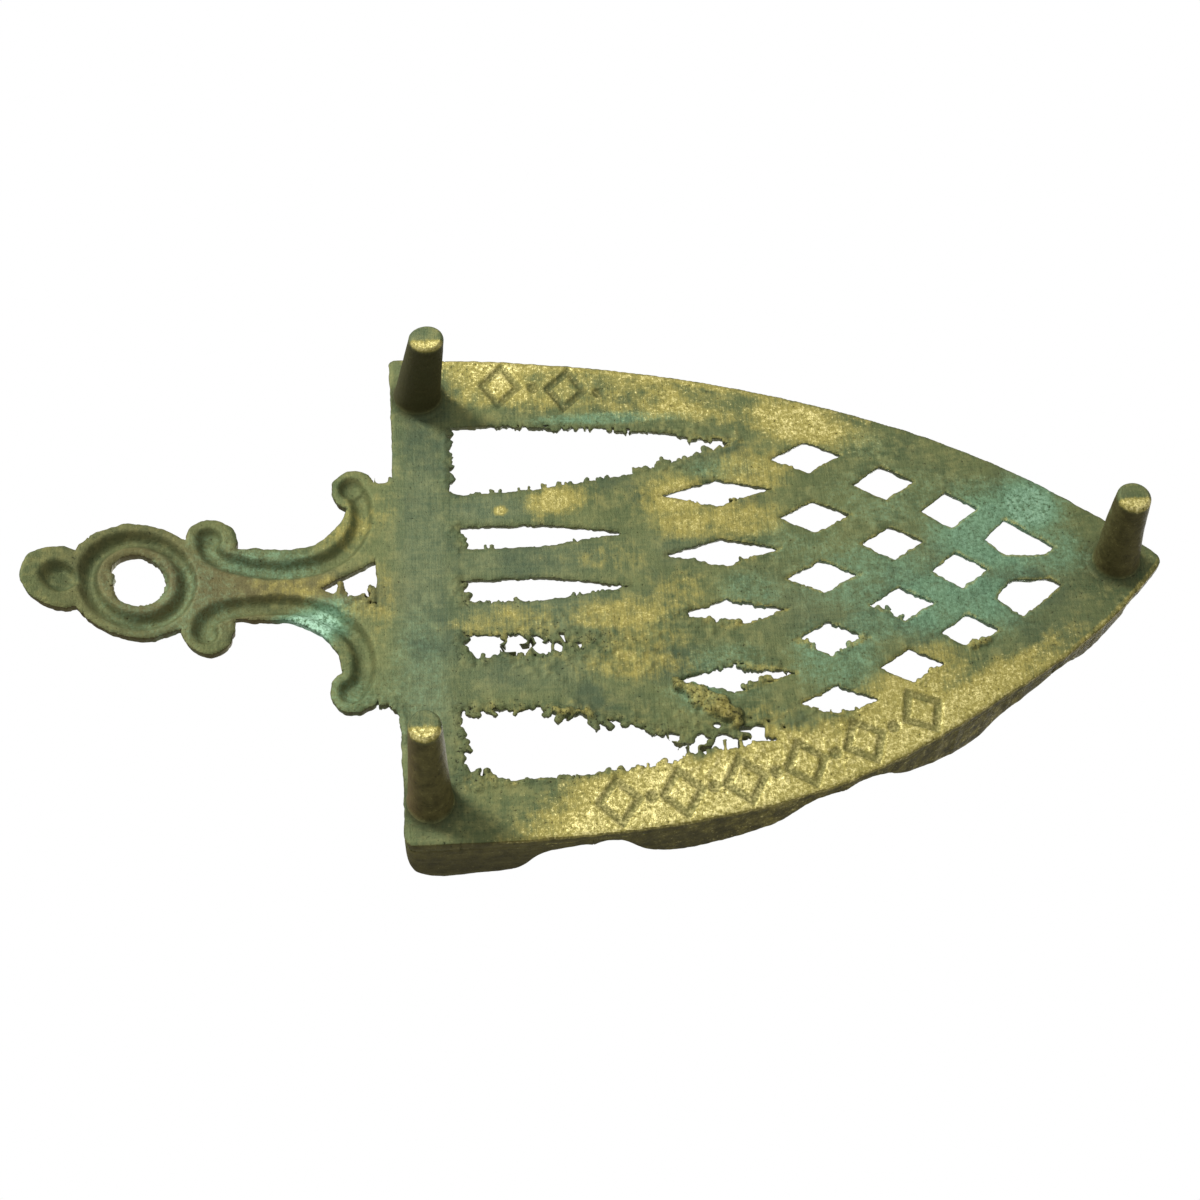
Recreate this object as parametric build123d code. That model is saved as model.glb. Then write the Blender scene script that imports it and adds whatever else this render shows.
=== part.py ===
from build123d import *
import math
import os

# Cast brass stand for a sad iron: a pierced, pointed deck on three feet, with a lobed gallery and a handle.
# Millimetres, +Z up, feet down. The casting is drawn with x = 0 at the heel edge of the deck, +x towards
# the toe and +y to the left. It is then moved so that the middle of its overall box stands on the origin.
# The stand is one casting, so each node is one feature of it, and neighbouring features meet face to face.

os.makedirs("parts", exist_ok=True)

# Overall sizes
foot_height = 25.0
plate_thickness = 2.6
deck_length = 158.7
underside = foot_height
deck_top = underside + plate_thickness
high = 60.0

# Deck outline: stations from the heel corner to the toe, (x, y)
toe_point = (deck_length, 0)
left_edge = [(0, 57.6), (30, 57.3), (60, 54.7), (90, 47.2), (120, 31.6), (140, 18.4), toe_point]
right_edge = [(0, -59.7), (30, -57.0), (60, -51.8), (90, -43.0), (120, -29.8), (140, -16.4), toe_point]
heel_corner_radius = 1.8
toe_radius = 2.0

# Piercing of the deck
pattern_axis_y = 0.6
heel_bar_width = 11.5
right_opening_points = [
    (11.5, -41.2), (30, -41), (50, -39), (74.5, -34),
    (64, -30.6), (45, -26.3), (25, -23.7), (11.5, -23.5),
]
left_opening_points = [
    (11.5, 44.4), (30, 44.2), (50, 43), (75, 38.3),
    (55, 34.4), (40, 30.8), (28, 28), (11.5, 27.4),
]
opening_corner_radius = 1.5
slot_start = 12.8
slot_end = 48.5
slot_half_width = 2.7
slot_pitch = 13.1
slot_rows = [-1, 0, 1]
slats_end = 50.5

# Diamond lattice: column centre, half length, half width, number of holes in the column
diamond_columns = [(67.8, 12.0, 3.4, 4), (87.8, 7.6, 3.9, 5), (103.3, 6.6, 4.1, 4), (116.3, 5.9, 4.4, 3)]
diamond_pitch = 14.9
kite_points = [(122.6, 7.3), (127.3, 12.0), (136.6, 4.6), (134.0, 2.9), (126.0, 3.2)]
lattice_end = 139.0
right_rail_line = [
    (heel_bar_width, -32), (74.5, -34), (87, -35), (102, -28.8),
    (115, -22.3), (127, -14.8), (lattice_end, -7),
]
left_rail_line = [
    (heel_bar_width, 36), (75, 38.3), (88, 38), (104, 31),
    (118, 23.6), (130, 15.8), (lattice_end, 8.5),
]

# Gallery: a wall on the deck's edge, with stations (x, height above the underside) along its lobed top
wall_thickness = 3.0
wall_steps = 12
gallery_sections = {
    "heel_gallery": [
        (0, 7.5), (1.6, 12.2), (6.5, 14.7), (15, 14.0),
        (22.5, 12.4), (26.6, 7.6), (31.5, 5.4), (37, 5.2),
    ],
    "side_gallery": [
        (37, 5.2), (43.5, 5.2), (47, 9.3), (51, 11.7), (57, 12.3),
        (68, 10.9), (74.5, 9.0), (79, 5.4), (87, 4.7),
    ],
    "front_gallery": [
        (87, 4.7), (95.5, 5.0), (100, 9.0), (106, 11.9), (113, 13.9),
        (117.5, 13.2), (121.5, 9.2), (126, 7.4), (132, 5.4),
    ],
    "toe_gallery": [(132, 5.4), (136, 5.1), (139.5, 7.3), (144.5, 6.5), (149, 4.6)],
}

# Feet: base centre on the underside, and how far the tip stands from the point below it
foot_base_radius = 4.7
foot_tip_radius = 3.4
feet = {
    "left_heel_foot": ((5.6, 48.8), (0.2, -4.0)),
    "right_heel_foot": ((5.6, -48.8), (3.1, 3.5)),
    "toe_foot": ((148.5, 0.5), (-1.3, 0.6)),
}

# Handle: drawn flat, then bent down on one long arc that starts at the heel
handle_axis_y = -1.4
bend_radius = 209.0
disc_centre = (-66.7, 1.0)
disc_radius = 7.2
ring_centre_x = -51.6
ring_outer_radius = 13.6
ring_hole_radius = 6.0
ring_groove_inner_radius = 8.3
ring_groove_outer_radius = 11.2
collar_end_x = -42.6
collar_start_x = -32.5
small_lobe_centre = (-37.4, 10.8)
small_lobe_radius = 5.2
arm_hollows = [(-24.0, 20.6, 13.0), (-22.5, -21.9, 12.6)]
scroll_centre = (-8.4, 24.2)
scroll_radius = 4.9
scroll_inner_y = 19.5
root_depth = 4.0
root_half_width = 27.0
gap_points = [(-15.2, 0.0), (-root_depth, 6.2), (-root_depth, -6.2)]
groove_width = 3.6
groove_depth = 1.1
dimple_radius = 3.2
arm_groove_points = [
    (-38.0, 12.0), (-37.0, 7.4), (-31.0, 4.9), (-22.0, 4.2),
    (-14.0, 6.4), (-8.2, 12.0), (-6.6, 19.0), (-8.0, 23.6),
]


def mirrored(points):
    """The same points on the other side of the y = 0 line."""
    return [(x, -y) for x, y in points]


def prism(sketch, low=0.0, top=high):
    """A flat shape in the plan, made into a solid between two heights."""
    return extrude(Pos(0, 0, low) * sketch, top - low)


def plan_box(x_low, x_high, y_low, y_high):
    """A block with the given plan that holds every height of the stand."""
    centre = Pos((x_low + x_high) / 2, (y_low + y_high) / 2, high / 2)
    return centre * Box(x_high - x_low, y_high - y_low, high)


def plan_polygon(points):
    """A flat polygon through the given points."""
    return make_face(Polyline(*points, close=True))


def deck_outline():
    """The pointed outline of the deck, with its two heel corners and its toe rounded."""
    left_side = Spline(*left_edge)
    right_side = Spline(*right_edge)
    heel_side = Line(left_edge[0], right_edge[0])
    outline = make_face([left_side, right_side, heel_side])
    heel_corners = outline.vertices().filter_by(lambda v: v.X < 1)
    outline = fillet(heel_corners, heel_corner_radius)
    toe_corner = outline.vertices().sort_by(Axis.X)[-1]
    return fillet(toe_corner, toe_radius)


def side_opening(points):
    """One of the two large tapered openings, with its heel corners rounded."""
    opening = plan_polygon(points)
    corners = opening.vertices().filter_by(lambda v: v.X < heel_bar_width + 1)
    return fillet(corners, opening_corner_radius)


def slot(row):
    """One narrow slot: blunt at the heel end, and drawn out to a point towards the toe."""
    centre_y = pattern_axis_y + row * slot_pitch
    middle_x = (slot_start + slot_end) / 2
    points = [
        (slot_start, centre_y - slot_half_width),
        (middle_x, centre_y - slot_half_width),
        (slot_end, centre_y),
        (middle_x, centre_y + slot_half_width),
        (slot_start, centre_y + slot_half_width),
    ]
    return plan_polygon(points)


def diamonds():
    """The staggered columns of diamonds, and the two kites that close the pattern at the toe."""
    shapes = []
    for centre_x, half_length, half_width, count in diamond_columns:
        for index in range(count):
            centre_y = pattern_axis_y + (index - (count - 1) / 2) * diamond_pitch
            points = [
                (centre_x - half_length, centre_y),
                (centre_x, centre_y - half_width),
                (centre_x + half_length, centre_y),
                (centre_x, centre_y + half_width),
            ]
            shapes.append(plan_polygon(points))
    for side in (kite_points, mirrored(kite_points)):
        shapes.append(Pos(0, pattern_axis_y) * plan_polygon(side))
    return shapes


def deck_nodes(outline):
    """The pierced deck, divided into heel bar, rails, slats, lattice panel and toe plate."""
    pierced = outline - side_opening(left_opening_points) - side_opening(right_opening_points)
    for row in slot_rows:
        pierced -= slot(row)
    for hole in diamonds():
        pierced -= hole
    plate = prism(pierced, underside, deck_top)
    left_zone = prism(plan_polygon(left_rail_line + [(lattice_end, 80), (heel_bar_width, 80)]))
    right_zone = prism(plan_polygon(right_rail_line + [(lattice_end, -80), (heel_bar_width, -80)]))
    middle = plate - left_zone - right_zone
    nodes = {
        "heel_bar": plate & plan_box(-1, heel_bar_width, -80, 80),
        "left_rail": plate & left_zone,
        "right_rail": plate & right_zone,
        "lattice_panel": middle & plan_box(slats_end, lattice_end, -80, 80),
        "toe_plate": plate & plan_box(lattice_end, deck_length + 1, -80, 80),
    }
    slot_lines = [pattern_axis_y + row * slot_pitch for row in slot_rows]
    slat_edges = [-40] + slot_lines + [40]
    slat_names = ["right_outer_slat", "right_inner_slat", "left_inner_slat", "left_outer_slat"]
    for name, low_y, high_y in zip(slat_names, slat_edges[:-1], slat_edges[1:]):
        nodes[name] = middle & plan_box(heel_bar_width, slats_end, low_y, high_y)
    return nodes


def inside_wall(edge_stations, side):
    """Everything on the inner side of the gallery wall that follows one edge of the deck."""
    outer_edge = Spline(*edge_stations)
    inner_points = []
    for step in range(wall_steps + 1):
        point = outer_edge.position_at(step / wall_steps)
        along = outer_edge.tangent_at(step / wall_steps)
        inward = Vector(side * along.Y, -side * along.X)
        inner_points.append(point + inward * wall_thickness)
    inner_edge = Spline(*inner_points)
    heel_end, toe_end = inner_points[0], inner_points[-1]
    far_side = -side * high
    rest = Polyline(toe_end, (toe_end.X, far_side), (-10, far_side), (-10, heel_end.Y), heel_end)
    return make_face([inner_edge, rest])


def gallery_nodes(outline):
    """The lobed wall on the deck's edge, in four sections on each side."""
    nodes = {}
    for side_name, side, edge_stations in (("left", 1, left_edge), ("right", -1, right_edge)):
        wall = prism(outline - inside_wall(edge_stations, side), deck_top, high)
        wall &= plan_box(-1, deck_length, min(0, side * high), max(0, side * high))
        for section_name, stations in gallery_sections.items():
            lobed_top = Spline(*[(x, underside + height) for x, height in stations])
            start, end = lobed_top @ 0, lobed_top @ 1
            base = Polyline(end, (end.X, deck_top), (start.X, deck_top), start)
            profile = Plane.XZ * make_face([lobed_top, base])
            nodes[f"{side_name}_{section_name}"] = wall & extrude(profile, high, both=True)
    return nodes


def foot(base, lean):
    """A round tapered foot that leans a little, and is cut level at the tip."""
    base_circle = Pos(base[0], base[1], underside) * Circle(foot_base_radius)
    tip_circle = Pos(base[0] + lean[0], base[1] + lean[1], 0) * Circle(foot_tip_radius)
    return loft([tip_circle, base_circle])


def bent_layer(inner, outer):
    """The space between two heights above the handle's underside, following its bend."""
    rings = Cylinder(bend_radius + outer, 2 * high) - Cylinder(bend_radius + inner, 2 * high)
    return Pos(0, 0, underside - bend_radius) * Rot(90, 0, 0) * rings


def handle_outline():
    """The plan of the handle: end disc, ring, collar with two lobes, two arms, two scrolls and the root."""
    shape = Pos(collar_start_x / 2, 0) * Rectangle(-collar_start_x, 2 * scroll_centre[1])
    for centre_x, centre_y, radius in arm_hollows:
        shape -= Pos(centre_x, centre_y) * Circle(radius)
        shape -= Pos(centre_x - 10, centre_y) * Rectangle(20, 2 * radius)
        shape -= Pos(centre_x, 2 * centre_y) * Rectangle(2 * radius, 2 * abs(centre_y))
    shape -= plan_polygon(gap_points)
    shape += Pos((collar_end_x + collar_start_x) / 2 - 1, 0) * Rectangle(13, 2 * small_lobe_centre[1])
    for side in (-1, 1):
        shape += Pos(small_lobe_centre[0], side * small_lobe_centre[1]) * Circle(small_lobe_radius)
        shape += Pos(scroll_centre[0], side * scroll_centre[1]) * Circle(scroll_radius)
    shape += Pos(-root_depth / 2, 0) * Rectangle(root_depth, 2 * root_half_width)
    shape += Pos(ring_centre_x, 0) * Circle(ring_outer_radius)
    shape += Pos(*disc_centre) * Circle(disc_radius)
    return shape


def handle_hollows():
    """The grooves and dimples in the underside of the handle."""
    hollows = Pos(ring_centre_x, 0) * (Circle(ring_groove_outer_radius) - Circle(ring_groove_inner_radius))
    hollows += Pos(*disc_centre) * Circle(dimple_radius)
    for side in (-1, 1):
        route = Spline(*[(x, side * y) for x, y in arm_groove_points])
        hollows += trace(route, groove_width)
    return hollows


def ring_bore():
    """The hanging hole, square to the bent ring."""
    slope = -math.degrees(math.asin(-ring_centre_x / bend_radius))
    on_the_bend = Pos(0, 0, underside - bend_radius) * Rot(0, slope, 0) * Pos(0, 0, bend_radius)
    return on_the_bend * Cylinder(ring_hole_radius, 20)


def handle_nodes():
    """The bent handle, divided into its disc, ring, collar, arms, scrolls and root."""
    blank = prism(handle_outline(), 1) & bent_layer(0, plate_thickness)
    blank -= prism(handle_hollows(), 1) & bent_layer(-1, groove_depth)
    blank -= ring_bore()
    divisions = {
        "end_disc": (-100, -61.5, -40, 40),
        "hanging_ring": (-61.5, collar_end_x, -40, 40),
        "scroll_collar": (collar_end_x, collar_start_x, -40, 40),
        "left_arm": (collar_start_x, -root_depth, 0, scroll_inner_y),
        "right_arm": (collar_start_x, -root_depth, -scroll_inner_y, 0),
        "left_heel_scroll": (-20, -root_depth, scroll_inner_y, 40),
        "right_heel_scroll": (-20, -root_depth, -40, -scroll_inner_y),
        "handle_root": (-root_depth, 0, -40, 40),
    }
    to_axis = Pos(0, handle_axis_y, 0)
    return {name: to_axis * (blank & plan_box(*limits)) for name, limits in divisions.items()}


deck = deck_outline()
nodes = deck_nodes(deck)
nodes.update(gallery_nodes(deck))
nodes.update({name: foot(base, lean) for name, (base, lean) in feet.items()})
nodes.update(handle_nodes())

boxes = [node.bounding_box() for node in nodes.values()]
centre_x = (min(box.min.X for box in boxes) + max(box.max.X for box in boxes)) / 2
centre_y = (min(box.min.Y for box in boxes) + max(box.max.Y for box in boxes)) / 2
to_origin = Location((-centre_x, -centre_y, 0))
print("heel edge at x", -centre_x, "pattern centre line at y", -centre_y)
for name, node in nodes.items():
    solids = [solid.moved(to_origin) for solid in node.solids()]
    shape = solids[0] if len(solids) == 1 else Compound(solids)
    export_step(shape, f"parts/{name}.step")
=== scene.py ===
import math

import bpy
import numpy as np
from mathutils import Matrix, Vector
from mathutils.bvhtree import BVHTree


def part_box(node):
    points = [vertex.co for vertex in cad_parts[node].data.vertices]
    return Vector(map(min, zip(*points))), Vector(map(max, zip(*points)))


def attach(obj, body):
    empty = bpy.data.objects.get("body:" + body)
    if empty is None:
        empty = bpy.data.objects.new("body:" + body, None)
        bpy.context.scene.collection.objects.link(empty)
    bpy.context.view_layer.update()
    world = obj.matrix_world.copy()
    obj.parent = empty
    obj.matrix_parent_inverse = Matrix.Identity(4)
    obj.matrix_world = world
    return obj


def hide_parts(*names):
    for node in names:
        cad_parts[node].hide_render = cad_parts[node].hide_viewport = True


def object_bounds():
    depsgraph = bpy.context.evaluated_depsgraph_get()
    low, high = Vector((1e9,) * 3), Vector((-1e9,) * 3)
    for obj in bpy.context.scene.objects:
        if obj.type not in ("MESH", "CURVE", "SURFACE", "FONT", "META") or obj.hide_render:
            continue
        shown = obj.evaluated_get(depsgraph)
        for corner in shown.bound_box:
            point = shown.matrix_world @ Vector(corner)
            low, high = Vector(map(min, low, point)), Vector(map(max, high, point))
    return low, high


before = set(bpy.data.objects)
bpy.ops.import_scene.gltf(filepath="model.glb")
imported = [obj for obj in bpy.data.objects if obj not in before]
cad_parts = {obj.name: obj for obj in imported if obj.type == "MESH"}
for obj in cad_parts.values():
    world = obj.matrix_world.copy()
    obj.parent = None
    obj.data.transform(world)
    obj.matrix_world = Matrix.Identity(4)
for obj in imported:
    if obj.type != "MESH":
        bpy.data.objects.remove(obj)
cad_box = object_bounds()

# The casting is worked in millimetres: x from the heel edge, y to the left from the pattern line, z up.
MM = 0.001
LEFT_HEEL_CORNER_Y = 57.6
heel_low, heel_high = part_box("heel_bar")
ORIGIN = np.array([heel_low.x / MM, heel_high.y / MM - LEFT_HEEL_CORNER_Y, 0.0])
UNDERSIDE = heel_low.z / MM
GALLERY_TOP = cad_box[1].z / MM

DECK = [
    "heel_bar", "left_rail", "right_rail", "left_outer_slat", "left_inner_slat",
    "right_inner_slat", "right_outer_slat", "lattice_panel", "toe_plate",
]
LEFT_GALLERY = ["left_heel_gallery", "left_side_gallery", "left_front_gallery", "left_toe_gallery"]
RIGHT_GALLERY = [name.replace("left", "right") for name in LEFT_GALLERY]
HANDLE = [
    "end_disc", "hanging_ring", "scroll_collar", "left_arm", "right_arm",
    "left_heel_scroll", "right_heel_scroll", "handle_root",
]
FEET = ["left_heel_foot", "right_heel_foot", "toe_foot"]

STEP = 0.35  # spacing of the grid that the plate is meshed on
REACH = 3.0  # distances to an edge are worked out up to here
EDGE_PIECE = 1.0  # longest straight piece of an outline
EDGE_PROBE = 0.05  # how far to each side of a node's outline metal is looked for
RIM_PROBE = 0.06  # the same, where other nodes are looked for
BELOW_ALL = -50  # heights that rays start from, clear of the casting
ABOVE_ALL = 150
OUTWARD_LOOKS = range(1, 41, 2)  # distances at which a piece of outline looks outward for metal
TOE_CURVE_START = 100  # from here on the outer edge turns towards the toe


# ---- small mathematics

def smooth_step(low, high, value):
    """0 at low and 1 at high, with a smooth rise between them. Low may be the larger of the two."""
    t = np.clip((value - low) / (high - low), 0, 1)
    return t * t * (3 - 2 * t)


HASH_FACTORS = (73856093, 19349663, 83492791)  # large primes, one for each axis
SEED_FACTOR = 2654435761
MIX_FACTOR = 1274126177
HASH_BITS = 0xFFFFFF


def hashed(cells, seed):
    """A repeatable value from 0 to 1 for each whole-numbered cell."""
    n = seed * SEED_FACTOR
    for axis, factor in enumerate(HASH_FACTORS):
        n = n ^ cells[..., axis] * factor
    n = (n ^ (n >> 13)) * MIX_FACTOR
    n = n ^ (n >> 16)
    return (n & HASH_BITS) / float(HASH_BITS)


def value_noise(points, size, seed):
    """Smooth noise from -1 to 1, with features of the given size."""
    scaled = points / size
    base = np.floor(scaled).astype(np.int64)
    t = scaled - base
    t = t * t * (3 - 2 * t)
    total = np.zeros(len(points))
    for corner in range(8):
        offset = np.array([corner & 1, corner >> 1 & 1, corner >> 2 & 1])
        weight = np.prod(np.where(offset, t, 1 - t), axis=1)
        total += weight * hashed(base + offset, seed)
    return total * 2 - 1


def layered_noise(points, size, layers, seed):
    """Noise with finer and weaker layers added, each half the size of the one before."""
    total = np.zeros(len(points))
    for layer in range(layers):
        total += value_noise(points, size / 2**layer, seed + layer) / 2**layer
    return total


def blur(field, sigma):
    """Gaussian blur of a grid, sigma in millimetres."""
    half = int(math.ceil(3 * sigma / STEP))
    kernel = np.exp(-0.5 * (np.arange(-half, half + 1) * STEP / sigma) ** 2)
    kernel /= kernel.sum()

    def blur_row(row):
        return np.convolve(np.pad(row, half, "edge"), kernel, "valid")

    for axis in (0, 1):
        field = np.apply_along_axis(blur_row, axis, field)
    return field


# ---- reading the CAD solids

class Solid:
    """One or more CAD nodes, as triangles in the casting's millimetres, with a tree to cast rays at."""

    def __init__(self, names):
        points, corners, count = [], [], 0
        for name in names:
            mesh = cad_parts[name].data
            mesh.calc_loop_triangles()
            co = np.empty(len(mesh.vertices) * 3)
            mesh.vertices.foreach_get("co", co)
            index = np.empty(len(mesh.loop_triangles) * 3, int)
            mesh.loop_triangles.foreach_get("vertices", index)
            points.append(co.reshape(-1, 3) / MM - ORIGIN)
            corners.append(index.reshape(-1, 3) + count)
            count += len(mesh.vertices)
        self.points = np.concatenate(points)
        self.corners = np.concatenate(corners)
        self.tree = BVHTree.FromPolygons(self.points.tolist(), self.corners.tolist())

    def low(self, x, y):
        """Height of the lowest metal over a point of the plan, or None."""
        hit = self.tree.ray_cast(Vector((x, y, BELOW_ALL)), Vector((0, 0, 1)))[0]
        return None if hit is None else hit.z

    def high(self, x, y):
        """Height of the highest metal, or None."""
        hit = self.tree.ray_cast(Vector((x, y, ABOVE_ALL)), Vector((0, 0, -1)))[0]
        return None if hit is None else hit.z

    def outline(self):
        """The plan's outline in short straight pieces: rows of start x, y, end x, y, outward x, y."""
        a, b, c = (self.points[self.corners[:, k]] for k in range(3))
        normal = np.cross(b - a, c - a)
        down = normal[:, 2] < -0.5 * np.linalg.norm(normal, axis=1)
        _, weld = np.unique(np.round(self.points, 3), axis=0, return_inverse=True)
        weld = weld.ravel()
        edges = self.corners[down][:, [[0, 1], [1, 2], [2, 0]]].reshape(-1, 2)
        key = np.sort(weld[edges], axis=1)
        _, first, count = np.unique(key, axis=0, return_index=True, return_counts=True)
        rows = []
        for i, j in edges[first[count == 1]]:
            start, end = self.points[i, :2], self.points[j, :2]
            length = np.hypot(*(end - start))
            if length < 1e-4:
                continue
            side = np.array([end[1] - start[1], start[0] - end[0]]) / length
            pieces = max(1, int(math.ceil(length / EDGE_PIECE)))
            for k in range(pieces):
                p = start + (end - start) * k / pieces
                q = start + (end - start) * (k + 1) / pieces
                middle = (p + q) / 2
                right = self.low(*(middle + side * EDGE_PROBE)) is not None
                left = self.low(*(middle - side * EDGE_PROBE)) is not None
                if right != left:
                    rows.append([*p, *q, *(side if left else -side)])
        return np.array(rows)


class Grid:
    """A window of one shared lattice over the plan."""

    START = np.array([-80.03, -70.07])  # off the round numbers that the casting's edges lie on
    MARGIN = 2.5

    def __init__(self, solid):
        low = np.floor((solid.points[:, :2].min(0) - self.MARGIN - self.START) / STEP)
        high = np.ceil((solid.points[:, :2].max(0) + self.MARGIN - self.START) / STEP)
        self.x = self.START[0] + STEP * np.arange(low[0], high[0] + 1)
        self.y = self.START[1] + STEP * np.arange(low[1], high[1] + 1)
        self.shape = (len(self.x), len(self.y))

    def points(self):
        x, y = np.meshgrid(self.x, self.y, indexing="ij")
        return np.stack([x.ravel(), y.ravel(), np.zeros(x.size)], axis=1)

    def window(self, low, high):
        """Slices of the grid that hold a box of the plan."""
        i = np.searchsorted(self.x, [low[0], high[0]])
        j = np.searchsorted(self.y, [low[1], high[1]])
        return slice(*i), slice(*j)

    def distance(self, pieces):
        """Distance from each point to the nearest piece of an outline, up to REACH."""
        field = np.full(self.shape, REACH)
        for x0, y0, x1, y1 in pieces[:, :4]:
            low = (min(x0, x1) - REACH, min(y0, y1) - REACH)
            high = (max(x0, x1) + REACH, max(y0, y1) + REACH)
            span = self.window(low, high)
            px = self.x[span[0], None] - x0
            py = self.y[None, span[1]] - y0
            dx, dy = x1 - x0, y1 - y0
            t = np.clip((px * dx + py * dy) / (dx * dx + dy * dy), 0, 1)
            near = np.hypot(px - t * dx, py - t * dy)
            np.minimum(field[span], near, out=field[span])
        return field

    def heights(self, solid):
        """Lowest and highest metal at each point, with nan where there is none."""
        low, high = np.full(self.shape, np.nan), np.full(self.shape, np.nan)
        span = self.window(solid.points[:, :2].min(0) - STEP, solid.points[:, :2].max(0) + STEP)
        for i in range(span[0].start, min(span[0].stop, self.shape[0])):
            for j in range(span[1].start, min(span[1].stop, self.shape[1])):
                bottom = solid.low(self.x[i], self.y[j])
                if bottom is not None:
                    low[i, j] = bottom
                    high[i, j] = solid.high(self.x[i], self.y[j])
        return low, high


def along_x(field, pick):
    """One value for each x of the grid, carried past the ends of the metal, and the same for every y."""
    empty = np.isnan(field).all(axis=1)
    values = np.full(len(field), np.nan)
    values[~empty] = pick(field[~empty], axis=1)
    known = np.flatnonzero(~empty)
    column = np.interp(np.arange(len(field)), known, values[known])
    return np.repeat(column[:, None], field.shape[1], axis=1)


class Plate:
    """A group of CAD nodes that lie side by side in the plan, read onto one grid."""

    def __init__(self, names):
        whole = Solid(names)
        self.grid = Grid(whole)
        lowest = np.full(self.grid.shape, np.nan)
        highest = np.full(self.grid.shape, np.nan)
        signed, rims = [], []
        for name in names:
            solid = Solid([name])
            low, high = self.grid.heights(solid)
            inside = ~np.isnan(low)
            lowest = np.fmin(lowest, low)
            highest = np.fmax(highest, high)
            outline = solid.outline()
            distance = self.grid.distance(outline)
            signed.append(np.where(inside, -distance, distance))
            middle = (outline[:, 0:2] + outline[:, 2:4]) / 2 + outline[:, 4:6] * RIM_PROBE
            free = [whole.low(*point) is None for point in middle]
            rims.append(outline[free])
        self.rim = np.concatenate(rims)
        inside = ~np.isnan(lowest)
        distance = self.grid.distance(self.rim)
        self.depth = np.where(inside, distance, -distance)
        self.shares = {}
        for k, name in enumerate(names):
            others = [s for j, s in enumerate(signed) if j != k]
            self.shares[name] = (signed[k] - np.min(others, axis=0)) / 2 if others else signed[k]
        self.base_low = along_x(lowest, np.nanmin)
        self.base_high = along_x(highest, np.nanmax)
        self.hollow = np.where(inside, lowest - self.base_low, 0)
        self.whole = whole

    def outer_rim(self):
        """The outline's outer parts, from which nothing of the plate lies further out."""
        outer = []
        for row in self.rim:
            middle, outward = (row[0:2] + row[2:4]) / 2, row[4:6]
            if all(self.whole.low(*(middle + outward * reach)) is None for reach in OUTWARD_LOOKS):
                outer.append(row)
        outer = np.array(outer)
        width = np.abs(outer[:, 1])
        beside = np.abs(outer[:, None, 0] - outer[None, :, 0]) < 2
        widest = np.where(beside, width[None, :], 0).max(axis=1)
        at_an_end = (outer[:, 0] < 1) | (outer[:, 0] > TOE_CURVE_START)
        return outer[at_an_end | (width > 0.8 * widest)]


# ---- meshing a plate

def clip_plan(level, grid):
    """Polygons of the grid's cells where level is below zero, cut off along the zero line.

    Gives the polygons, the pieces of the zero line, the number of corners that are grid points,
    and a function that reads any field of the grid at the corners."""
    inside = level < 0
    corner_id = np.full(level.shape, -1)
    corner_id[inside] = np.arange(inside.sum())
    on_x = inside[:-1] != inside[1:]
    on_y = inside[:, :-1] != inside[:, 1:]
    grid_corners = int(inside.sum())
    x_id, y_id = np.full(on_x.shape, -1), np.full(on_y.shape, -1)
    x_id[on_x] = grid_corners + np.arange(on_x.sum())
    y_id[on_y] = grid_corners + on_x.sum() + np.arange(on_y.sum())

    def crossing(a, b):
        return np.clip(a / (a - b), 0.06, 0.94)

    t_x = crossing(level[:-1][on_x], level[1:][on_x])
    t_y = crossing(level[:, :-1][on_y], level[:, 1:][on_y])

    def read(field):
        at_x = field[:-1][on_x] * (1 - t_x) + field[1:][on_x] * t_x
        at_y = field[:, :-1][on_y] * (1 - t_y) + field[:, 1:][on_y] * t_y
        return np.concatenate([field[inside], at_x, at_y])

    corners = [corner_id[:-1, :-1], corner_id[1:, :-1], corner_id[1:, 1:], corner_id[:-1, 1:]]
    sides = [x_id[:, :-1], y_id[1:], x_id[:, 1:], y_id[:-1]]
    kind = sum((corners[k] >= 0).astype(int) << k for k in range(4))
    polygons, rims = [], []
    for case in range(1, 16):
        cells = kind == case
        if not cells.any():
            continue
        ring = []
        for k in range(4):
            here, there = case >> k & 1, case >> (k + 1) % 4 & 1
            if here:
                ring.append(corners[k][cells])
            if here != there:
                ring.append(sides[k][cells])
        polygons.append(np.stack(ring, axis=1))
        order = [k for k in range(4) if (case >> k & 1) != (case >> (k + 1) % 4 & 1)]
        for k in [k for k in order if case >> k & 1]:
            later = order[(order.index(k) + 1) % len(order)]
            rims.append(np.stack([sides[k][cells], sides[later][cells]], axis=1))
    return polygons, np.concatenate(rims), grid_corners, read


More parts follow.
